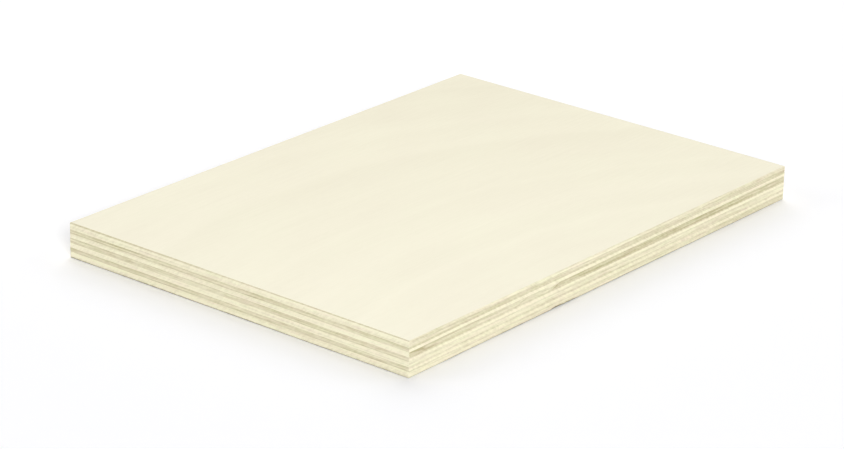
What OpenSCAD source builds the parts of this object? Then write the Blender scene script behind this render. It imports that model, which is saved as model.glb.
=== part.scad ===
// Plywood sheet: rotary-cut veneers glued with their grain crossed, sawn to size and eased.
// The origin is at the centre of the underside, the face grain runs along X, and Z is up.

/* [Sheet] */
// Length of the sheet, along the grain of the face veneer
sheet_length = 297; // [210:1:2500]
// Width of the sheet, across the grain of the face veneer
sheet_width = 210; // [50:1:1250]
// Width of the small bevel that sanding leaves on every outer arris
arris_bevel = 0.4; // [0.1:0.1:0.9]

/* [Veneers] */
// Thickness of the face veneer and of the back veneer
face_thickness = 3; // [1:0.1:4]
// Thickness of each crossband, whose grain runs across the sheet
crossband_thickness = 2.4; // [1:0.1:4]
// Thickness of each core veneer, whose grain runs along the sheet
core_thickness = 2.4; // [1:0.1:4]

/* [Scarf joint] */
// Distance from the left end of the sheet to the middle of the joint in the upper core veneer
scarf_place = 107; // [20:1:190]
// Length of the sloping faces of the joint, measured along the sheet
scarf_length = 6.5; // [2:0.5:20]

/* [Hidden] */

// Height at which each ply lies on the one below it
lower_crossband_base = face_thickness;
lower_core_base = lower_crossband_base + crossband_thickness;
centre_crossband_base = lower_core_base + core_thickness;
upper_core_base = centre_crossband_base + crossband_thickness;
upper_crossband_base = upper_core_base + core_thickness;
face_base = upper_crossband_base + crossband_thickness;

sheet_thickness = face_base + face_thickness;
left_end = -sheet_length / 2;
right_end = sheet_length / 2;

// The scarf leans to the right, so its foot is nearer the left end than its head
scarf_foot = left_end + scarf_place - scarf_length / 2;
scarf_head = left_end + scarf_place + scarf_length / 2;

face_colour = [0.96, 0.94, 0.87];
along_grain_colour = [0.87, 0.84, 0.72];
across_grain_colour = [0.95, 0.93, 0.80];

// A rectangle about the origin with its four corners bevelled
module bevelled_rectangle(wide, high) {
    side = wide / 2;
    top = high / 2;
    side_flat = side - arris_bevel;
    top_flat = top - arris_bevel;
    polygon([
        [side_flat, -top], [side, -top_flat],
        [side, top_flat], [side_flat, top],
        [-side_flat, top], [-side, top_flat],
        [-side, -top_flat], [-side_flat, -top]
    ]);
}

// The finished sheet as one block, with every outer arris eased
module sheet_form() {
    translate([0, 0, sheet_thickness / 2])
        intersection() {
            linear_extrude(sheet_thickness, center = true)
                bevelled_rectangle(sheet_length, sheet_width);
            rotate([90, 0, 0])
                linear_extrude(sheet_width, center = true)
                    bevelled_rectangle(sheet_length, sheet_thickness);
            rotate([90, 0, 90])
                linear_extrude(sheet_length, center = true)
                    bevelled_rectangle(sheet_width, sheet_thickness);
        }
}

// One whole ply, trimmed and eased with the rest of the sheet
module veneer(base, thickness) {
    intersection() {
        sheet_form();
        translate([left_end, -sheet_width / 2, base])
            cube([sheet_length, sheet_width, thickness]);
    }
}

// One of the two lengths of the upper core veneer, from an end of the sheet to the scarf
module scarfed_length(end) {
    low = upper_core_base;
    high = low + core_thickness;
    intersection() {
        sheet_form();
        rotate([90, 0, 0])
            linear_extrude(sheet_width, center = true)
                polygon([[end, low], [scarf_foot, low], [scarf_head, high], [end, high]]);
    }
}

module face_veneer() {
    color(face_colour) veneer(face_base, face_thickness);
}

module upper_crossband() {
    color(across_grain_colour) veneer(upper_crossband_base, crossband_thickness);
}

module upper_core_left() {
    color(along_grain_colour) scarfed_length(left_end);
}

module upper_core_right() {
    color(along_grain_colour) scarfed_length(right_end);
}

module centre_crossband() {
    color(across_grain_colour) veneer(centre_crossband_base, crossband_thickness);
}

module lower_core() {
    color(along_grain_colour) veneer(lower_core_base, core_thickness);
}

module lower_crossband() {
    color(across_grain_colour) veneer(lower_crossband_base, crossband_thickness);
}

module back_veneer() {
    color(face_colour) veneer(0, face_thickness);
}

face_veneer();
upper_crossband();
upper_core_left();
upper_core_right();
centre_crossband();
lower_core();
lower_crossband();
back_veneer();
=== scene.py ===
"""A small sheet of pale poplar plywood: sanded faces, sawn edges and seven crossed veneers."""

import math

import bpy
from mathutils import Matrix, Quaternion, Vector, noise
from mathutils.geometry import delaunay_2d_cdt


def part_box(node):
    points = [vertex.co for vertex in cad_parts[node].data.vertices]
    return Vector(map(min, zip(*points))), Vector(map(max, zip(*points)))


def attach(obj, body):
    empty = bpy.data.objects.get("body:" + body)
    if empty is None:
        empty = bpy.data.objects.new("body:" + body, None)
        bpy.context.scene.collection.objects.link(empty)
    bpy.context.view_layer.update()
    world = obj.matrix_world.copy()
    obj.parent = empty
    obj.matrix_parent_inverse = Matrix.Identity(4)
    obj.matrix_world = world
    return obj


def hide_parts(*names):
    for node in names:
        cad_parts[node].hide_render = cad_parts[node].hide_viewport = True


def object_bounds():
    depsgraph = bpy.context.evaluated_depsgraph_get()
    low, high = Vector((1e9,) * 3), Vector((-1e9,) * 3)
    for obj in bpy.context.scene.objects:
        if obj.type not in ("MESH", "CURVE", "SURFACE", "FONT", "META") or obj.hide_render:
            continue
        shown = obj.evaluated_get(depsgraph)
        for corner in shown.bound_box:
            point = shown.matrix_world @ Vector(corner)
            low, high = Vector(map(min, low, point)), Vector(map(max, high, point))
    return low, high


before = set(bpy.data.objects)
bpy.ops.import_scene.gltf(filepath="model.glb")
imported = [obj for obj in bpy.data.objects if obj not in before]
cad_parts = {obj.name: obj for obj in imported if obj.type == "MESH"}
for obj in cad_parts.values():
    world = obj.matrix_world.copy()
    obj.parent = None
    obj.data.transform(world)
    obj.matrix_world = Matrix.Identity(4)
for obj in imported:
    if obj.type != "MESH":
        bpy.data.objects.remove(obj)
cad_low, cad_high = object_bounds()

MM = 0.001

# The sheet's own size, read from the frame, and its four sides by their outward normals
LEFT, FRONT, UNDERSIDE = cad_low
RIGHT, REAR, TOP = cad_high
FRONT_SIDE, RIGHT_SIDE, REAR_SIDE, LEFT_SIDE = (0, -1), (1, 0), (0, 1), (-1, 0)

# The finishes of a ply, in the order that its mesh takes them, and the marks that its points carry:
# the share of the ply below the point, how near the glue is, and how much painted shade darkens the arris
LOWER_CAP, UPPER_CAP, LONG_EDGE, SHORT_EDGE = range(4)
MARKS = ("through_ply", "near_glue", "arris")

# How finely the sawn edges and the flat faces are drawn
EDGE_STEP = 0.6 * MM
ROW_SHARES = (0.0, 0.05, 0.16, 0.32, 0.5, 0.68, 0.84, 0.95, 1.0)
CORNER_STEPS = 4
ARRIS_STEPS = 4
CAP_INSET = 2.5 * MM
CAP_STEP = 5 * MM
SHARP_ANGLE = math.radians(40)
FILL_INSIDE = 1
MERGE_WITHIN = 1e-9

# How the noise is stretched to about -1 to 1, how far apart its seeds lie, and where quick ripples are cut
NOISE_GAIN = 1.6
SEED_STEP = 31.7
RIPPLE_LAYER = 0.5

# One seed for each kind of unevenness, so that no two are alike
LOWER_ARRIS_SEED = 3
UPPER_ARRIS_SEED = 4
SIDE_GRAIN_SEED = 7
END_GRAIN_SEED = 8
SPLINTER_SEED = 11
LIFT_SEED = 87
SHADE_SEED = 91

# Sanding rounded the corners and the arrises, and the block left the arrises uneven, with small nicks
CORNER_RADIUS = 0.45 * MM
ARRIS_RADIUS = 0.42 * MM
ARRIS_WAVE = 0.3
ARRIS_WAVE_LENGTH = 55 * MM
ARRIS_NICK = 0.08
ARRIS_NICK_LENGTH = 6 * MM

# The underside rises a little over its last millimetres, and more at the middle of the sheet's length,
# so a breath of air shows under the lower arris
EDGE_LIFT = 0.04 * MM
EDGE_LIFT_UNEVENNESS = 0.4
EDGE_LIFT_LENGTH = 70 * MM
MIDDLE_LIFT = 0.08 * MM

# The splinter that the saw tore from the front edge's lower arris, deepest a quarter of the way along
SPLINTER_START = LEFT + 103.5 * MM
SPLINTER_LENGTH = 21 * MM
SPLINTER_DEPTH = 0.2 * MM
SPLINTER_SKEW = 0.5
SPLINTER_MEAN = 0.75
SPLINTER_RAG = 0.4
SPLINTER_RAG_LENGTH = 1.5 * MM

# Glue lines rise and fall where the veneers were pressed
GLUE_WAVE = 0.13 * MM
GLUE_WAVE_LENGTH = 62 * MM
GLUE_RIPPLE = 0.05 * MM
GLUE_RIPPLE_LENGTH = 8 * MM

# How far each glue line dips at the left end, by the ply above it, and the same by its height in mm
LEFT_END_REACH = 30 * MM
LEFT_END_DIPS = {
    "lower_crossband": -0.18 * MM,
    "lower_core": 0.02 * MM,
    "centre_crossband": 0.02 * MM,
    "upper_core_left": 0.07 * MM,
    "upper_crossband": 0.20 * MM,
    "face_veneer": 0.40 * MM,
}
DIPS_BY_HEIGHT = {round(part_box(ply)[0].z / MM, 1): dip for ply, dip in LEFT_END_DIPS.items()}

# How the saw left each grain: how far below the edge, how deep it tore, how long and how high the tears
# are, and how much unevenness it spared
SIDE_GRAIN_CUT = {
    "recess": 0.06 * MM,
    "tear": 0.10 * MM,
    "long": 20 * MM,
    "high": 0.5 * MM,
    "spared": 0.1,
    "seed": SIDE_GRAIN_SEED,
}
END_GRAIN_CUT = {
    "recess": 0.02 * MM,
    "tear": 0.06 * MM,
    "long": 1.8 * MM,
    "high": 0.9 * MM,
    "spared": 0.25,
    "seed": END_GRAIN_SEED,
}

# The fine groove along each glue line, over this share of the ply
GLUE_GROOVE = 0.05 * MM
GLUE_GROOVE_SHARE = 0.06

# The scarf in the upper core veneer, from where its two lengths meet in the frame
SCARF_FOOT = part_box("upper_core_right")[0].x
SCARF_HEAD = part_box("upper_core_left")[1].x
SCARF_MIDDLE = (SCARF_FOOT + SCARF_HEAD) / 2
SCARF_REACH = 12 * MM
SCARF_GROOVE = 0.06 * MM
SCARF_GROOVE_WIDTH = 0.5 * MM

# How much shade is painted on the arrises: a thin line along the upper arris, and contact shade along
# the lower one, in patches, more at the middle of the sheet's length and in the splinter, fading out on
# the edge just above it
UPPER_ARRIS_SHADE = 0.5
FOOT_SHADE = 0.2
FOOT_SHADE_REACH = 0.5 * MM
MIDDLE_SHADE = 0.55
SPLINTER_SHADE = 0.8
SHADE_UNEVENNESS = 0.3
SHADE_PATCH = 24 * MM

# The flat map of a ply: how many strips its walls make, and the heights that its walls and caps take up
OUTER_STRIPS = 8
OUTER_WALLS = (0.030, 0.285)
OUTER_SHOWN_CAP = (0.300, 0.995)
OUTER_GLUED_CAP = (0.003, 0.025)
INNER_STRIPS = 18
INNER_WALLS = (0.005, 0.945)
INNER_LOWER_CAP = (0.955, 0.970)
INNER_UPPER_CAP = (0.980, 0.995)
MAP_MARGIN = 0.005
MAP_WIDTH = 0.99
STRIP_FILL = 0.84


# Shapes of the veneers

def wander(x, y, z, seed):
    """Smooth unevenness between about -1 and 1, the same on every run."""
    return NOISE_GAIN * noise.noise(Vector((x, y, z + SEED_STEP * seed)))


def waves(x, y, length, seed, layer=0.0):
    """That unevenness along the edges, in waves of one length."""
    return wander(x / length, y / length, layer, seed)


def mid_length(x):
    """1 at the middle of the sheet's length and 0 at its ends."""
    return math.sin(math.pi * (x - LEFT) / (RIGHT - LEFT))


def quarter_turn(step, steps):
    """The angle after one step of a rounding, in radians."""
    return math.radians(90 * step / steps)


def glue_line(height, x, y):
    """Height of the glue line pressed at this height, at one place on the edge."""
    if height <= UNDERSIDE or height >= TOP:
        return height
    height_mm = round(height / MM, 1)
    slow = waves(x, y, GLUE_WAVE_LENGTH, height_mm)
    quick = waves(x, y, GLUE_RIPPLE_LENGTH, height_mm, RIPPLE_LAYER)
    dip = DIPS_BY_HEIGHT[height_mm] * max(0.0, 1.0 - (x - LEFT) / LEFT_END_REACH)
    return height + GLUE_WAVE * slow + GLUE_RIPPLE * quick - dip


def eased(x, y, seed):
    """Radius of an arris at one place, because the sanding block left it uneven."""
    slow = waves(x, y, ARRIS_WAVE_LENGTH, seed)
    quick = waves(x, y, ARRIS_NICK_LENGTH, seed, RIPPLE_LAYER)
    return ARRIS_RADIUS * (1.0 + ARRIS_WAVE * slow + ARRIS_NICK * quick)


def splinter(x, y):
    """How much of the lower arris is torn away at one place, about 1 where it is torn most."""
    share = (x - SPLINTER_START) / SPLINTER_LENGTH
    if y > FRONT + CORNER_RADIUS or not 0.0 < share < 1.0:
        return 0.0
    ragged = SPLINTER_MEAN + SPLINTER_RAG * waves(x, 0.0, SPLINTER_RAG_LENGTH, SPLINTER_SEED)
    return ragged * math.sin(math.pi * share ** SPLINTER_SKEW)


def edge_lift(x, y):
    """How far the lower arris stands off the floor at one place."""
    slow = waves(x, y, EDGE_LIFT_LENGTH, LIFT_SEED)
    uneven = EDGE_LIFT * (1.0 + EDGE_LIFT_UNEVENNESS * slow)
    return uneven + MIDDLE_LIFT * mid_length(x) + SPLINTER_DEPTH * splinter(x, y)


def outline(left, right, scarf_side):
    """Columns round a veneer, anticlockwise from above: x, y and the outward normal's x and y."""
    corners = [(left, FRONT), (right, FRONT), (right, REAR), (left, REAR)]
    normals = [FRONT_SIDE, RIGHT_SIDE, REAR_SIDE, LEFT_SIDE]
    columns = []
    for index, (x, y) in enumerate(corners):
        arriving, leaving = normals[index - 1], normals[index]
        if scarf_side in (arriving, leaving):
            columns.append((x, y, *(leaving if arriving == scarf_side else arriving)))
        else:
            centre_x = x - CORNER_RADIUS * (arriving[0] + leaving[0])
            centre_y = y - CORNER_RADIUS * (arriving[1] + leaving[1])
            for step in range(CORNER_STEPS + 1):
                turn = quarter_turn(step, CORNER_STEPS)
                normal_x = arriving[0] * math.cos(turn) + leaving[0] * math.sin(turn)
                normal_y = arriving[1] * math.cos(turn) + leaving[1] * math.sin(turn)
                columns.append((
                    centre_x + CORNER_RADIUS * normal_x,
                    centre_y + CORNER_RADIUS * normal_y,
                    normal_x,
                    normal_y,
                ))
        if leaving == scarf_side:
            continue
        following = (index + 1) % len(corners)
        rounding = 0.0 if normals[following] == scarf_side else CORNER_RADIUS
        start = columns[-1]
        end_x = corners[following][0] - rounding * normals[following][0]
        end_y = corners[following][1] - rounding * normals[following][1]
        count = round(math.dist(start[:2], (end_x, end_y)) / EDGE_STEP)
        for step in range(1, count):
            share = step / count
            columns.append((
                start[0] + (end_x - start[0]) * share,
                start[1] + (end_y - start[1]) * share,
                *leaving,
            ))
    return columns


def edge_depth(x, y, z, near_glue, cut):
    """How far the sawn edge lies below its true plane at one point."""
    uneven = wander((x + y) / cut["long"], z / cut["high"], 0.0, cut["seed"])
    depth = cut["recess"] + cut["tear"] * max(0.0, uneven - cut["spared"])
    if near_glue > 1.0 - 2 * GLUE_GROOVE_SHARE:
        depth += GLUE_GROOVE
    return depth


def edge_profile(x, y, base, head):
    """Rows up one column of an edge: height, rounding, and its three marks."""
    low, high = glue_line(base, x, y), glue_line(head, x, y)
    glued_below, glued_above = base > UNDERSIDE, head < TOP
    lower_radius = 0.0 if glued_below else eased(x, y, LOWER_ARRIS_SEED)
    upper_radius = 0.0 if glued_above else eased(x, y, UPPER_ARRIS_SEED)
    low += 0.0 if glued_below else edge_lift(x, y)
    wall_low, wall_high = low + lower_radius, high - upper_radius
    # Painted contact shade on the lower arris: patchy, deeper at the middle of the length and in the
    # splinter
    patchy = 1.0 + SHADE_UNEVENNESS * waves(x, y, SHADE_PATCH, SHADE_SEED)
    deeper_at_middle = 1.0 + MIDDLE_SHADE * mid_length(x)
    in_splinter = SPLINTER_SHADE * splinter(x, y)
    rows = []
    if not glued_below:
        for step in range(ARRIS_STEPS):
            turn = quarter_turn(step, ARRIS_STEPS)
            z = low + lower_radius * (1 - math.cos(turn))
            painted_shade = math.cos(turn) * patchy * deeper_at_middle + in_splinter
            rows.append((z, lower_radius * (1 - math.sin(turn)), 0.0, 0.0, painted_shade))
    for share in ROW_SHARES:
        glue_below = 1.0 - 2 * share if glued_below else 0.0
        glue_above = 2 * share - 1.0 if glued_above else 0.0
        z = wall_low + (wall_high - wall_low) * share
        painted_shade = 0.0
        if not glued_below:
            fading = max(0.0, 1.0 - (z - wall_low) / FOOT_SHADE_REACH)
            painted_shade = (FOOT_SHADE * patchy + in_splinter) * fading
        # A thin line of painted shade along the upper arris
        if share == 1.0 and not glued_above:
            painted_shade = UPPER_ARRIS_SHADE
        rows.append((z, 0.0, share, max(0.0, glue_below, glue_above), painted_shade))
    if not glued_above:
        for step in range(1, ARRIS_STEPS + 1):
            turn = quarter_turn(step, ARRIS_STEPS)
            z = high - upper_radius * (1 - math.sin(turn))
            rows.append((z, upper_radius * (1 - math.cos(turn)), 1.0, 0.0, UPPER_ARRIS_SHADE))
    return rows


def cap_points(ring):
    """Points spread inside a flat cap, and triangles that count the ring's points first."""
    low_x, high_x = min(x for x, y in ring) + CAP_STEP, max(x for x, y in ring) - CAP_STEP
    low_y, high_y = min(y for x, y in ring) + CAP_STEP, max(y for x, y in ring) - CAP_STEP
    across, along = round((high_y - low_y) / CAP_STEP), round((high_x - low_x) / CAP_STEP)
    inside = []
    for row in range(across + 1):
        y = low_y + (high_y - low_y) * row / across
        odd = row % 2
        for step in range(along + 1 - odd):
            inside.append((low_x + (high_x - low_x) * (step + odd / 2) / along, y))
    points = [Vector(point) for point in ring + inside]
    border = list(range(len(ring)))
    made = delaunay_2d_cdt(points, [], [border], FILL_INSIDE, MERGE_WITHIN, True)
    corners, sources = made[2], made[3]
    triangles = [[sources[corner][0] for corner in triangle] for triangle in corners]
    return inside, triangles


def flat_map(lower_shows, upper_shows):
    """How a ply's flat map is shared out: the strips, the walls, the lower cap and the upper cap."""
    if lower_shows:
        return OUTER_STRIPS, OUTER_WALLS, OUTER_SHOWN_CAP, OUTER_GLUED_CAP
    if upper_shows:
        return OUTER_STRIPS, OUTER_WALLS, OUTER_GLUED_CAP, OUTER_SHOWN_CAP
    return INNER_STRIPS, INNER_WALLS, INNER_LOWER_CAP, INNER_UPPER_CAP


def ply_mesh(name, vertices, faces, slots, marks, layout):
    """One mesh of a ply, smooth but for its sharp edges, with its marks and its flat map."""
    mesh = bpy.data.meshes.new(name)
    mesh.from_pydata(vertices, [], faces)
    mesh.polygons.foreach_set("material_index", slots)
    mesh.polygons.foreach_set("use_smooth", [True] * len(faces))
    mesh.set_sharp_from_angle(angle=SHARP_ANGLE)
    for index, attribute in enumerate(MARKS):
        values = [mark[index] for mark in marks]
        mesh.attributes.new(attribute, "FLOAT", "POINT").data.foreach_set("value", values)
    flat = mesh.uv_layers.new(name="OFBake")
    flat.uv.foreach_set("vector", [value for uv in layout for value in uv])
    return mesh


def veneer(name, node, grain, finishes, scarf_side=None):
    """One ply, or one length of the scarfed ply, as a closed mesh that stands for its CAD node."""
    low_corner, high_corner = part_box(node)
    base, head = low_corner.z, high_corner.z
    left = SCARF_MIDDLE if scarf_side == LEFT_SIDE else LEFT
    right = SCARF_MIDDLE if scarf_side == RIGHT_SIDE else RIGHT
    columns = outline(left, right, scarf_side)

    def slide(x, z):
        """How far a point near the scarf moves to follow its slope."""
        if scarf_side is None:
            return 0.0
        near = max(0.0, 1.0 - abs(x - SCARF_MIDDLE) / SCARF_REACH)
        return near * (SCARF_HEAD - SCARF_FOOT) * ((z - base) / (head - base) - 0.5)

    anchor_x = (LEFT + RIGHT) / 2 if scarf_side is None else SCARF_MIDDLE
    shrink_x = 1.0 - CAP_INSET / max(right - anchor_x, anchor_x - left)
    anchor_y = (FRONT + REAR) / 2
    shrink_y = 1.0 - CAP_INSET / (REAR - anchor_y)

    def rim_point(x, y, z):
        """Where the flat cap starts, on an outline a little smaller than the edge's."""
        rim_x = anchor_x + (x - anchor_x) * shrink_x
        return rim_x + slide(rim_x, z), anchor_y + (y - anchor_y) * shrink_y, z

    vertices, marks = [], []
    for x, y, normal_x, normal_y in columns:
        with_grain = (abs(normal_y) > abs(normal_x)) == (grain == "along")
        cut = SIDE_GRAIN_CUT if with_grain else END_GRAIN_CUT
        column = [(rim_point(x, y, base), (0.0, float(base > UNDERSIDE), 0.0))]
        for z, rounding, *mark in edge_profile(x, y, base, head):
            inset = rounding + edge_depth(x, y, z, mark[1], cut)
            if scarf_side is not None:
                in_scarf = max(0.0, 1.0 - abs(x - SCARF_MIDDLE) / SCARF_GROOVE_WIDTH)
                inset += SCARF_GROOVE * in_scarf
                mark[1] = max(mark[1], in_scarf)
            point = (x - normal_x * inset + slide(x, z), y - normal_y * inset, z)
            column.append((point, mark))
        column.append((rim_point(x, y, head), (1.0, 1.0, 0.0)))
        vertices += [point for point, mark in column]
        marks += [mark for point, mark in column]

    row_count, column_count = len(column), len(columns)
    wall_rows = row_count - 3
    strips, wall_v, lower_v, upper_v = flat_map(base <= UNDERSIDE, head >= TOP)
    strip_columns = math.ceil(column_count / strips)
    strip_height = (wall_v[1] - wall_v[0]) / strips
    faces, slots, layout = [], [], []

    def cap_uv(corner, v_range):
        """The place of a cap's corner on the flat map."""
        x, y, z = vertices[corner]
        u = MAP_MARGIN + MAP_WIDTH * (x - LEFT) / (RIGHT - LEFT)
        return u, v_range[0] + (v_range[1] - v_range[0]) * (y - FRONT) / (REAR - FRONT)

    for index in range(column_count):
        after = (index + 1) % column_count
        normal_x = columns[index][2] + columns[after][2]
        normal_y = columns[index][3] + columns[after][3]
        edge = LONG_EDGE if abs(normal_y) > abs(normal_x) else SHORT_EDGE
        strip = index // strip_columns
        u = (index - strip * strip_columns) / strip_columns
        for row in range(row_count - 1):
            corners = [
                index * row_count + row,
                after * row_count + row,
                after * row_count + row + 1,
                index * row_count + row + 1,
            ]
            faces.append(corners)
            if row == 0:
                slots.append(LOWER_CAP)
                layout += [cap_uv(corner, lower_v) for corner in corners]
            elif row == row_count - 2:
                slots.append(UPPER_CAP)
                layout += [cap_uv(corner, upper_v) for corner in corners]
            else:
                slots.append(edge)
                u_low = MAP_MARGIN + MAP_WIDTH * u
                u_high = MAP_MARGIN + MAP_WIDTH * (u + 1 / strip_columns)
                strip_v = wall_v[0] + strip_height * strip
                v_low = strip_v + STRIP_FILL * strip_height * (row - 1) / wall_rows
                v_high = strip_v + STRIP_FILL * strip_height * row / wall_rows
                layout += [(u_low, v_low), (u_high, v_low), (u_high, v_high), (u_low, v_high)]

    for cap, rim_row, z, v_range in (
        (LOWER_CAP, 0, base, lower_v),
        (UPPER_CAP, row_count - 1, head, upper_v),
    ):
        rim = [index * row_count + rim_row for index in range(column_count)]
        inside, triangles = cap_points([vertices[corner][:2] for corner in rim])
        numbers = rim + list(range(len(vertices), len(vertices) + len(inside)))
        vertices += [(x, y, z) for x, y in inside]
        marks += [(float(cap == UPPER_CAP), 1.0, 0.0)] * len(inside)
        for triangle in triangles:
            corners = [numbers[corner] for corner in triangle]
            if cap == LOWER_CAP:
                corners.reverse()
            faces.append(corners)
            slots.append(cap)
            layout += [cap_uv(corner, v_range) for corner in corners]

    mesh = ply_mesh(name, vertices, faces, slots, marks, layout)
    for finish in finishes:
        mesh.materials.append(finish)
    piece = bpy.data.objects.new(name, mesh)
    bpy.context.scene.collection.objects.link(piece)
    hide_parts(node)
    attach(piece, "root")


# Finishes

# Dry wood's own index, and how much of its shine the open pores leave
WOOD_IOR = 1.5
WOOD_SHINE = 0.25

# The noise texture's middle, and how far a pattern about zero strays from it
NOISE_MIDDLE = 0.5
NOISE_SPREAD = 0.5

# A pattern this long, in metres, is plain along that axis
PLAIN = 1.0

# The hue that leaves a colour as it is, and how far poplar strays to rosy or green in patches
SAME_HUE = 0.5
HUE_CAST = 0.075


def linear(hex_code):
    """An sRGB hex colour as the linear colour that the shaders work in."""
    channels = [int(hex_code[start:start + 2], 16) / 255 for start in (1, 3, 5)]
    return (*(c / 12.92 if c <= 0.04045 else ((c + 0.055) / 1.055) ** 2.4 for c in channels), 1.0)


def add(tree, kind, inputs=None, stops=(), **settings):
    """Adds one node: its settings, its ramp's stops, and what each input takes, a value or an output."""
    node = tree.nodes.new(kind)
    for key, value in settings.items():
        setattr(node, key, value)
    for key, value in (inputs or {}).items():
        if isinstance(value, bpy.types.Node):
            value = value.outputs[0]
        if isinstance(value, bpy.types.NodeSocket):
            tree.links.new(value, node.inputs[key])
        else:
            node.inputs[key].default_value = value
    for index, (place, colour) in enumerate(stops):
        ramp = node.color_ramp.elements
        stop = ramp[index] if index < len(ramp) else ramp.new(place)
        stop.position = place
        stop.color = linear(colour)
    return node


def weigh(tree, level, *patterns):
    """A level plus each pattern times its weight."""
    total = level
    for pattern, weight in patterns:
        terms = {0: pattern, 1: weight, 2: total}
        total = add(tree, "ShaderNodeMath", terms, operation="MULTIPLY_ADD")
    return total


def bare_poplar(name):
    """Bare dry poplar, dull but for a faint shine: material, tree, shader and the place in metres."""
    material = bpy.data.materials.new(name)
    material.use_nodes = True
    tree = material.node_tree
    tree.nodes.clear()
    gloss = {"IOR": WOOD_IOR, "Specular IOR Level": WOOD_SHINE}
    shader = add(tree, "ShaderNodeBsdfPrincipled", gloss)
    add(tree, "ShaderNodeOutputMaterial", {"Surface": shader})
    place = add(tree, "ShaderNodeTexCoord").outputs["Object"]
    return material, tree, shader, place


def grain_noise(tree, place, size, seed, detail=3.0):
    """Uneven wood about a middle of zero, in patches of the given size along X, Y and Z."""
    scale = tuple(1 / length for length in size)
    patches = add(tree, "ShaderNodeVectorMath", {0: place, 1: scale}, operation="MULTIPLY")
    settings = {"Vector": patches, "W": seed, "Scale": 1.0, "Detail": detail}
    uneven = add(tree, "ShaderNodeTexNoise", settings, noise_dimensions="4D")
    return add(tree, "ShaderNodeMath", {0: uneven, 1: NOISE_MIDDLE}, operation="SUBTRACT")


def finish_wood(tree, shader, tone, stops, cast, height, relief, roughness):
    """Colours the wood by its tone, rosier or greener by its cast, and sets its roughness and relief."""
    shade = add(tree, "ShaderNodeValToRGB", {"Fac": tone}, stops)
    hue = weigh(tree, SAME_HUE, (cast, HUE_CAST))
    tinted = add(tree, "ShaderNodeHueSaturation", {"Color": shade, "Hue": hue})
    tree.links.new(tinted.outputs[0], shader.inputs["Base Color"])
    smooth, coarse = roughness
    settings = {
        "Value": height,
        "From Min": -NOISE_SPREAD,
        "From Max": NOISE_SPREAD,
        "To Min": coarse,
        "To Max": smooth,
    }
    rough = add(tree, "ShaderNodeMapRange", settings)
    tree.links.new(rough.outputs[0], shader.inputs["Roughness"])
    bump = add(tree, "ShaderNodeBump", {"Height": height, "Distance": relief, "Strength": 1.0})
    tree.links.new(bump.outputs[0], shader.inputs["Normal"])


# The lazy arch of figure that the lathe left on the face: its top point, how fast it falls away, how far
# apart its layers lie and how far they drift
FIGURE_X = LEFT + 85 * MM
FIGURE_Y = FRONT + 164 * MM
FIGURE_FALL = 1.74
FIGURE_SPACING = 26 * MM
FIGURE_DRIFT = 12 * MM

# How much the veneer deepens from sapwood towards heartwood, and with a painted falloff of light away from
# the near corner, for each metre along X, Y and Z
TOWARDS_HEART_AND_FALLOFF = (1.15, 1.25, 0.0)


def sanded_face(name, seed, pale, deep):
    """Rotary-cut poplar, sanded fine: cream, almost plain, with a faint arched figure and tiny pores.

    The pores are drawn several times their real width, because they would be too fine to show.
    """
    material, tree, shader, place = bare_poplar(name)
    split = add(tree, "ShaderNodeSeparateXYZ", {0: place})
    aside = add(tree, "ShaderNodeMath", {0: split.outputs["X"], 1: FIGURE_X}, operation="SUBTRACT")
    squared = add(tree, "ShaderNodeMath", {0: aside, 1: aside}, operation="MULTIPLY")
    drift = grain_noise(tree, place, (70 * MM, 45 * MM, PLAIN), seed)
    arch = weigh(
        tree, -FIGURE_Y,
        (split.outputs["Y"], 1.0), (squared, FIGURE_FALL), (drift, FIGURE_DRIFT),
    )
    rings = add(tree, "ShaderNodeMath", {0: arch, 1: FIGURE_SPACING}, operation="DIVIDE")
    settings = {"W": rings, "Scale": 1.0, "Detail": 4.0}
    layers = add(tree, "ShaderNodeTexNoise", settings, noise_dimensions="1D")
    fibres = grain_noise(tree, place, (55 * MM, 0.9 * MM, PLAIN), seed + 1, detail=4.0)
    pores = grain_noise(tree, place, (5 * MM, 0.45 * MM, PLAIN), seed + 2, detail=2.0)
    clouds = grain_noise(tree, place, (60 * MM, 40 * MM, PLAIN), seed + 3)
    # Deeper towards heartwood, and darker away from the near corner as a painted falloff of light
    heart_and_falloff = add(tree, "ShaderNodeVectorMath", {0: place, 1: TOWARDS_HEART_AND_FALLOFF}, operation="DOT_PRODUCT")
    tone = weigh(
        tree, 0.41,
        (layers, 0.42), (fibres, 0.34), (pores, 0.26), (clouds, 0.26),
        (heart_and_falloff.outputs["Value"], -1.0),
    )
    height = weigh(tree, 0.0, (fibres, 0.6), (pores, 0.4))
    cast = weigh(tree, 0.0, (clouds, 0.25))
    stops = ((0.0, deep), (1.0, pale))
    finish_wood(tree, shader, tone, stops, cast, height, relief=0.03 * MM, roughness=(0.58, 0.7))
    return material


# The tones of sawn poplar, from the painted shade at an arris through the dullest streak to the palest cut
# fibre
DULLEST_STREAK = 0.08
SAWN_TONES = (
    (0.0, "#6F6749"),
    (DULLEST_STREAK, "#BEB58C"),
    (0.2, "#CDC49E"),
    (0.6, "#E8E1C3"),
    (1.0, "#FCF6D9"),
)

# How deep a placed streak reaches into the wood
STREAK_DEPTH = 20 * MM

# The share of a ply over which its lower part gives way to its upper part, and how fast glue fades out
UPPER_PART_FROM, UPPER_PART_TO = 0.5, 0.72
SOAK_FALL = 2.0

# X and Y run along the edges, and each millimetre up slides a tooth mark one along
TOOTH_LEAN = (1.0, 1.0, 1.0)

# How wide a hair line is on its ridge, and how much tone the hair lines take off the whole
HAIR_WIDTH = 0.12
HAIR_LOSS = 0.06


def paint_arris_shade(tree, tone, painted_shade, arris):
    """The wood's tone, no duller than its dullest streak, less the shade painted on the arris."""
    wood = add(tree, "ShaderNodeMath", {0: tone, 1: DULLEST_STREAK}, operation="MAXIMUM")
    return weigh(tree, wood, (painted_shade, -arris))


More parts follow.
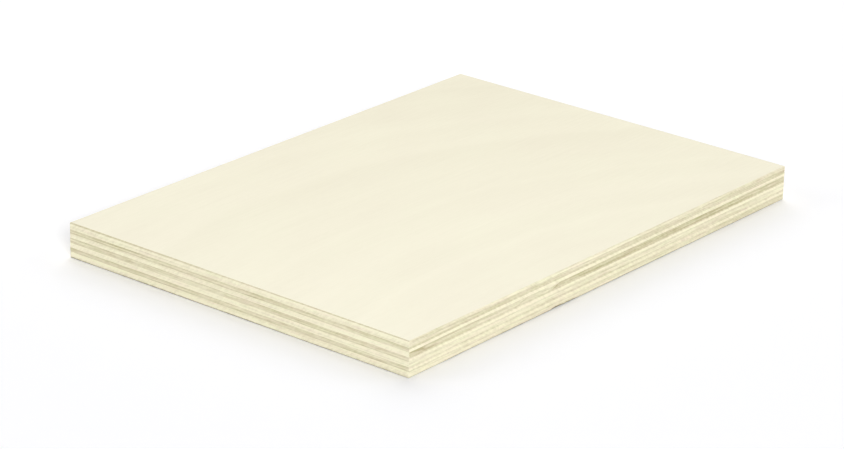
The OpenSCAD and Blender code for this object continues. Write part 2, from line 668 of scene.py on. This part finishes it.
def ply_marks(tree):
    """On an edge: 1 in the upper part of the ply, where glue soaked in, and how much shade is painted on
    the arris.
    """
    through, near_glue, painted_shade = [
        add(tree, "ShaderNodeAttribute", attribute_name=mark).outputs["Fac"] for mark in MARKS
    ]
    settings = {"Value": through, "From Min": UPPER_PART_FROM, "From Max": UPPER_PART_TO}
    upper_part = add(tree, "ShaderNodeMapRange", settings, interpolation_type="SMOOTHSTEP")
    soaked = add(tree, "ShaderNodeMath", {0: near_glue, 1: SOAK_FALL}, operation="POWER")
    return upper_part, soaked, painted_shade


def placed_streaks(tree, place, side, streaks):
    """Streaks of grain on the front or the left edge, each with its weight."""
    placed = []
    for along, height, half_length, half_height, lean, weight in streaks:
        middle, turn = along * MM, math.radians(lean)
        long, high = half_length * MM, half_height * MM
        if side == FRONT_SIDE:
            spot, lie = (LEFT + middle, FRONT, height * MM), (0.0, -turn, 0.0)
            size = (long, STREAK_DEPTH, high)
        else:
            spot, lie = (LEFT, FRONT + middle, height * MM), (turn, 0.0, 0.0)
            size = (STREAK_DEPTH, long, high)
        where = {"Vector": place, "Location": spot, "Rotation": lie, "Scale": size}
        mapped = add(tree, "ShaderNodeMapping", where, vector_type="TEXTURE")
        streak = add(tree, "ShaderNodeTexGradient", {0: mapped}, gradient_type="SPHERICAL")
        placed.append((streak.outputs["Fac"], weight))
    return placed


def leaning(tree, place):
    """The same place on an edge, slid along the edge by its height, as the saw's teeth leaned."""
    along = add(tree, "ShaderNodeVectorMath", {0: place, 1: TOOTH_LEAN}, operation="DOT_PRODUCT")
    split = add(tree, "ShaderNodeSeparateXYZ", {0: place})
    leant = {"X": along.outputs["Value"], "Z": split.outputs["Z"]}
    return add(tree, "ShaderNodeCombineXYZ", leant).outputs[0]


def side_grain(name, seed, level, upper=0.0, glue=0.12, arris=0.0, side=FRONT_SIDE, streaks=()):
    """Poplar sawn along its grain: long dull streaks and hair lines, fuzzy with torn fibres."""
    material, tree, shader, place = bare_poplar(name)
    upper_part, soaked, painted_shade = ply_marks(tree)
    broad = grain_noise(tree, place, (130 * MM, 130 * MM, 2.0 * MM), seed)
    bands = grain_noise(tree, place, (60 * MM, 60 * MM, 0.8 * MM), seed + 1, detail=2.0)
    ridges = grain_noise(tree, place, (40 * MM, 40 * MM, 0.9 * MM), seed + 2, detail=1.0)
    off_ridge = add(tree, "ShaderNodeMath", {0: ridges}, operation="ABSOLUTE")
    settings = {"Value": off_ridge, "From Max": HAIR_WIDTH, "To Min": 1.0, "To Max": 0.0}
    hairs = add(tree, "ShaderNodeMapRange", settings, interpolation_type="SMOOTHSTEP")
    flecks = grain_noise(tree, place, (7 * MM, 7 * MM, 0.7 * MM), seed + 3, detail=2.0)
    fuzz = grain_noise(tree, leaning(tree, place), (1.6 * MM, PLAIN, 2.0 * MM), seed + 4)
    cast = grain_noise(tree, place, (12 * MM, 12 * MM, 1.6 * MM), seed + 5, detail=2.0)
    tone = weigh(
        tree, level + HAIR_LOSS,
        (broad, 0.8), (bands, 0.7), (hairs, -0.14), (flecks, 0.85), (fuzz, 0.55),
        (upper_part, upper), (soaked, -glue), *placed_streaks(tree, place, side, streaks),
    )
    tone = paint_arris_shade(tree, tone, painted_shade, arris)
    height = weigh(tree, 0.0, (bands, 0.4), (hairs, -0.2), (fuzz, 0.4))
    finish_wood(
        tree, shader, tone, SAWN_TONES, cast, height,
        relief=0.08 * MM, roughness=(0.68, 0.82),
    )
    return material


def end_grain(name, seed, level, upper=0.0, glue=0.0, arris=0.0, side=FRONT_SIDE, streaks=()):
    """Poplar sawn across its grain: pale cut fibre ends with fine leaning checks, duller where loose.

    The fibre ends are drawn as coarse specks, because the real ones would be too fine to show.
    """
    material, tree, shader, place = bare_poplar(name)
    upper_part, soaked, painted_shade = ply_marks(tree)
    checks = grain_noise(tree, leaning(tree, place), (2.0 * MM, PLAIN, 3.0 * MM), seed)
    specks = grain_noise(tree, place, (0.8 * MM, 0.8 * MM, 0.5 * MM), seed + 1, detail=2.0)
    layers = grain_noise(tree, place, (90 * MM, 90 * MM, 0.8 * MM), seed + 2, detail=2.0)
    cast = grain_noise(tree, place, (12 * MM, 12 * MM, 1.6 * MM), seed + 3, detail=2.0)
    tone = weigh(
        tree, level,
        (checks, 1.0), (specks, 0.35), (layers, 0.9),
        (upper_part, upper), (soaked, -glue), *placed_streaks(tree, place, side, streaks),
    )
    tone = paint_arris_shade(tree, tone, painted_shade, arris)
    height = weigh(tree, 0.0, (checks, 0.6), (specks, 0.4))
    finish_wood(
        tree, shader, tone, SAWN_TONES, cast, height,
        relief=0.06 * MM, roughness=(0.7, 0.85),
    )
    return material


def glued_face(name, size, seed=60):
    """Veneer under its glue: dull straw wood with the glue roller's thin, uneven film."""
    material, tree, shader, place = bare_poplar(name)
    fibres = grain_noise(tree, place, size, seed, detail=4.0)
    film = grain_noise(tree, place, (6 * MM, 6 * MM, PLAIN), seed + 1)
    tone = weigh(tree, 0.5, (fibres, 0.7), (film, 0.5))
    stops = ((0.0, "#C9BD93"), (1.0, "#E6DDBD"))
    finish_wood(tree, shader, tone, stops, film, film, relief=0.04 * MM, roughness=(0.45, 0.7))
    return material


face_top = sanded_face("sanded_poplar_face", 3, pale="#FAF5DF", deep="#E6E0C7")
face_under = sanded_face("sanded_poplar_back", 13, pale="#F6F0DA", deep="#E0D8BC")
glued_along = glued_face("glued_poplar_along", (50 * MM, 0.9 * MM, PLAIN))
glued_across = glued_face("glued_poplar_across", (0.9 * MM, 50 * MM, PLAIN))

# Streaks that show on the front or the left edge: along and up from the near corner in mm, half length,
# half height, lean in degrees, and how much paler or duller they are
FACE_STREAKS = (
    (140, 16.9, 75, 0.5, 0.0, 0.25),
    (10, 17.2, 50, 1.2, 0.0, -0.35),
    (265, 16.0, 65, 1.9, 0.0, -0.2),
)
UPPER_CROSSBAND_STREAKS = (
    (8, 13.8, 30, 1.8, 0.0, -0.3),
    (180, 14.1, 55, 1.1, 0.0, -0.25),
)
UPPER_CROSSBAND_END_STREAKS = ((45, 12.5, 65, 0.6, 0.0, -0.55),)
SCARF_LINE = (107, 11.4, 6, 0.5, 20.3, -0.3)
LEFT_CORE_STREAKS = (
    (4, 12.1, 9, 0.5, 0.0, -0.45),
    (5, 11.6, 18, 1.4, 0.0, -0.25),
    (8.5, 11.4, 8, 0.8, -9.5, -0.3),
    (15, 10.5, 7, 0.5, 0.0, -0.3),
    (26, 12.1, 13, 0.45, 0.0, -0.35),
    (81, 11.3, 7, 0.5, 14.5, -0.3),
    (101, 11.4, 6, 1.2, 20.3, 0.2),
    SCARF_LINE,
)
RIGHT_CORE_STREAKS = (
    (116, 11.4, 14, 2.0, 0.0, 0.2),
    (158, 10.2, 24, 0.5, 0.0, -0.25),
    (124, 12.1, 16, 0.4, 0.0, -0.2),
    (232, 12.0, 36, 0.9, 0.0, -0.12),
    SCARF_LINE,
)
CENTRE_CROSSBAND_STREAKS = (
    (50, 9.8, 60, 0.7, 0.0, 0.15),
    (160, 9.9, 50, 0.6, 0.0, -0.18),
)
LOWER_CORE_STREAKS = (
    (45, 6.3, 80, 1.6, 0.0, 0.1),
    (158, 7.4, 60, 0.9, 0.0, -0.25),
)
LOWER_CROSSBAND_STREAKS = (
    (158, 3.6, 55, 0.6, 0.0, 0.2),
    (255, 4.8, 60, 0.6, 0.0, -0.25),
)
BACK_STREAKS = (
    (50, 1.5, 70, 2.0, 0.0, 0.12),
    (158, 1.0, 55, 0.9, 0.0, 0.2),
    (158, 2.6, 60, 0.6, 0.0, -0.25),
    (260, 1.9, 90, 2.0, 0.0, -0.33),
)

# Each ply's sawn edges from the top: a seed, how pale the wood is, and what its upper part, its glue and
# the shade painted on its arris change
face_side = side_grain(
    "sawn_face_side_grain", 101, 0.52, upper=0.22, glue=0.06, streaks=FACE_STREAKS,
)
# Its arris weight paints a thin shade line along the upper arris of the short edges
face_end = end_grain("sawn_face_end_grain", 111, 0.82, upper=0.14, arris=1.0)
upper_crossband_side = side_grain(
    "sawn_upper_crossband_side_grain", 121, 0.57, side=LEFT_SIDE, streaks=UPPER_CROSSBAND_STREAKS,
)
upper_crossband_end = end_grain(
    "sawn_upper_crossband_end_grain", 131, 0.9, upper=-0.46, streaks=UPPER_CROSSBAND_END_STREAKS,
)
left_core_side = side_grain(
    "sawn_left_core_side_grain", 141, 0.55, upper=-0.1, glue=0.03, streaks=LEFT_CORE_STREAKS,
)
right_core_side = side_grain(
    "sawn_right_core_side_grain", 151, 0.34, glue=0.05, streaks=RIGHT_CORE_STREAKS,
)
upper_core_end = end_grain("sawn_upper_core_end_grain", 161, 0.9)
centre_crossband_side = side_grain("sawn_centre_crossband_side_grain", 171, 0.6)
centre_crossband_end = end_grain(
    "sawn_centre_crossband_end_grain", 181, 0.95,
    upper=-0.36, glue=0.25, streaks=CENTRE_CROSSBAND_STREAKS,
)
lower_core_side = side_grain(
    "sawn_lower_core_side_grain", 191, 0.8, upper=-0.05, glue=0.12, streaks=LOWER_CORE_STREAKS,
)
lower_core_end = end_grain("sawn_lower_core_end_grain", 201, 0.95)
lower_crossband_side = side_grain("sawn_lower_crossband_side_grain", 211, 0.6, glue=0.2)
lower_crossband_end = end_grain(
    "sawn_lower_crossband_end_grain", 221, 0.9,
    upper=-0.2, glue=0.28, streaks=LOWER_CROSSBAND_STREAKS,
)
# The back ply's arris weights paint contact shade along the lower arris
back_side = side_grain(
    "sawn_back_side_grain", 231, 0.8, upper=-0.05, glue=0.2, arris=1.05, streaks=BACK_STREAKS,
)
back_end = end_grain("sawn_back_end_grain", 241, 0.93, arris=2.2)

# The plies from the top, each with the finish of its underside, its top, its long and its short edges
veneer(
    "face_ply", "face_veneer", "along",
    (glued_along, face_top, face_side, face_end),
)
veneer(
    "upper_crossband_ply", "upper_crossband", "across",
    (glued_across, glued_across, upper_crossband_end, upper_crossband_side),
)
veneer(
    "upper_core_left_ply", "upper_core_left", "along",
    (glued_along, glued_along, left_core_side, upper_core_end), RIGHT_SIDE,
)
veneer(
    "upper_core_right_ply", "upper_core_right", "along",
    (glued_along, glued_along, right_core_side, upper_core_end), LEFT_SIDE,
)
veneer(
    "centre_crossband_ply", "centre_crossband", "across",
    (glued_across, glued_across, centre_crossband_end, centre_crossband_side),
)
veneer(
    "lower_core_ply", "lower_core", "along",
    (glued_along, glued_along, lower_core_side, lower_core_end),
)
veneer(
    "lower_crossband_ply", "lower_crossband", "across",
    (glued_across, glued_across, lower_crossband_end, lower_crossband_side),
)
veneer(
    "back_ply", "back_veneer", "along",
    (face_under, glued_along, back_side, back_end),
)


# Studio: a white sweep under an even dome, one high lamp, three softboxes round the sheet, a low fill
# from the front, and the photo's view

PHOTO_WIDTH = 844
SENSOR_WIDTH = 36.0
FOCUS_PIXELS = 3291.1
CAMERA_AZIMUTH = -51.084
CAMERA_ELEVATION = 21.561
CAMERA_ROLL = 1.320
CAMERA_DISTANCE = 1.5965
CAMERA_AIM = Vector((-0.01976, -0.00658, 0.00911))

# The paper's colour, and how far it is lifted to white where it is seen, round the sheet and behind it,
# where the larger lift is painted light that hides most of the front fill's shadow
SWEEP_HALF = 4.0
SWEEP_COLOUR = "#F9F9FB"
SWEEP_LIFT = 0.081
SWEEP_LIFT_BEHIND = 0.12
WASH_REACH = 30 * MM

DOME_COLOUR = "#FFFFFF"
DOME_STRENGTH = 0.36


def towards(azimuth, elevation):
    """The direction to something seen at this azimuth and elevation, in degrees."""
    turn, rise = math.radians(azimuth), math.radians(elevation)
    level = math.cos(rise)
    return Vector((math.sin(turn) * level, -math.cos(turn) * level, math.sin(rise)))


def seen_white(tree):
    """1 where the camera, a reflection or clear glass looks, and 0 where light is gathered."""
    path = add(tree, "ShaderNodeLightPath").outputs
    seen = path["Is Camera Ray"]
    for ray in ("Is Glossy Ray", "Is Transmission Ray"):
        seen = add(tree, "ShaderNodeMath", {0: seen, 1: path[ray]}, operation="MAXIMUM")
    return seen


def white_sweep():
    """Matt white paper, lifted to plain white where it is seen, with the sheet's shadow kept in front.

    Behind the sheet a larger lift paints in light that hides most of the front fill's shadow.
    """
    material = bpy.data.materials.new("white_paper_sweep")
    material.use_nodes = True
    tree = material.node_tree
    tree.nodes.clear()
    place = add(tree, "ShaderNodeTexCoord").outputs["Object"]
    # Painted light: the lift grows behind the rear edge and hides most of the front fill's shadow there
    behind = {
        "Value": add(tree, "ShaderNodeSeparateXYZ", {0: place}).outputs["Y"],
        "From Min": REAR,
        "From Max": REAR + WASH_REACH,
        "To Min": SWEEP_LIFT,
        "To Max": SWEEP_LIFT_BEHIND,
    }
    wash = add(tree, "ShaderNodeMapRange", behind)
    lift = add(tree, "ShaderNodeMath", {0: seen_white(tree), 1: wash}, operation="MULTIPLY")
    paper = add(tree, "ShaderNodeBsdfDiffuse", {"Color": linear(SWEEP_COLOUR)})
    glow = add(tree, "ShaderNodeEmission", {"Strength": lift})
    both = add(tree, "ShaderNodeAddShader", {0: paper, 1: glow})
    add(tree, "ShaderNodeOutputMaterial", {"Surface": both})
    mesh = bpy.data.meshes.new("sweep")
    square = [(-1, -1), (1, -1), (1, 1), (-1, 1)]
    corners = [(SWEEP_HALF * x, SWEEP_HALF * y, UNDERSIDE) for x, y in square]
    mesh.from_pydata(corners, [], [range(len(corners))])
    mesh.materials.append(material)
    sweep = bpy.data.objects.new("sweep", mesh)
    bpy.context.scene.collection.objects.link(sweep)


def white_dome():
    """Even light from all round, and plain white where it is seen."""
    world = bpy.data.worlds.new("white_dome")
    world.use_nodes = True
    tree = world.node_tree
    tree.nodes.clear()
    settings = {"Value": seen_white(tree), "To Min": DOME_STRENGTH, "To Max": 1.0}
    strength = add(tree, "ShaderNodeMapRange", settings)
    sky = {"Color": linear(DOME_COLOUR), "Strength": strength}
    glow = add(tree, "ShaderNodeBackground", sky)
    add(tree, "ShaderNodeOutputWorld", {"Surface": glow})
    bpy.context.scene.world = world


def softbox(name, azimuth, elevation, distance, size, power):
    """A round soft lamp that looks at the sheet."""
    lamp = bpy.data.lights.new(name, "AREA")
    lamp.shape = "DISK"
    lamp.size = size
    lamp.energy = power
    holder = bpy.data.objects.new(name, lamp)
    way = towards(azimuth, elevation)
    holder.location = way * distance
    holder.rotation_mode = "QUATERNION"
    holder.rotation_quaternion = (-way).to_track_quat("-Z", "Y")
    bpy.context.scene.collection.objects.link(holder)


def photo_camera():
    """The photo's own view of the sheet."""
    lens = bpy.data.cameras.new("photo_camera")
    lens.sensor_width = SENSOR_WIDTH
    lens.lens = FOCUS_PIXELS / PHOTO_WIDTH * SENSOR_WIDTH
    holder = bpy.data.objects.new("photo_camera", lens)
    back = towards(CAMERA_AZIMUTH, CAMERA_ELEVATION)
    holder.location = CAMERA_AIM + back * CAMERA_DISTANCE
    holder.rotation_mode = "QUATERNION"
    roll = Quaternion((0, 0, 1), math.radians(CAMERA_ROLL))
    holder.rotation_quaternion = (-back).to_track_quat("-Z", "Y") @ roll
    bpy.context.scene.collection.objects.link(holder)
    bpy.context.scene.camera = holder


white_sweep()
white_dome()
softbox("high_key", azimuth=120, elevation=76, distance=3.0, size=0.6, power=8.1)
softbox("rear_softbox", azimuth=135, elevation=40, distance=3.0, size=3.0, power=39.5)
softbox("right_softbox", azimuth=45, elevation=28, distance=3.0, size=1.5, power=10.6)
softbox("left_softbox", azimuth=225, elevation=28, distance=3.0, size=1.5, power=12.4)
softbox("front_fill", azimuth=-38, elevation=24, distance=4.0, size=1.2, power=71.4)
photo_camera()
bpy.context.scene.view_settings.view_transform = "Standard"
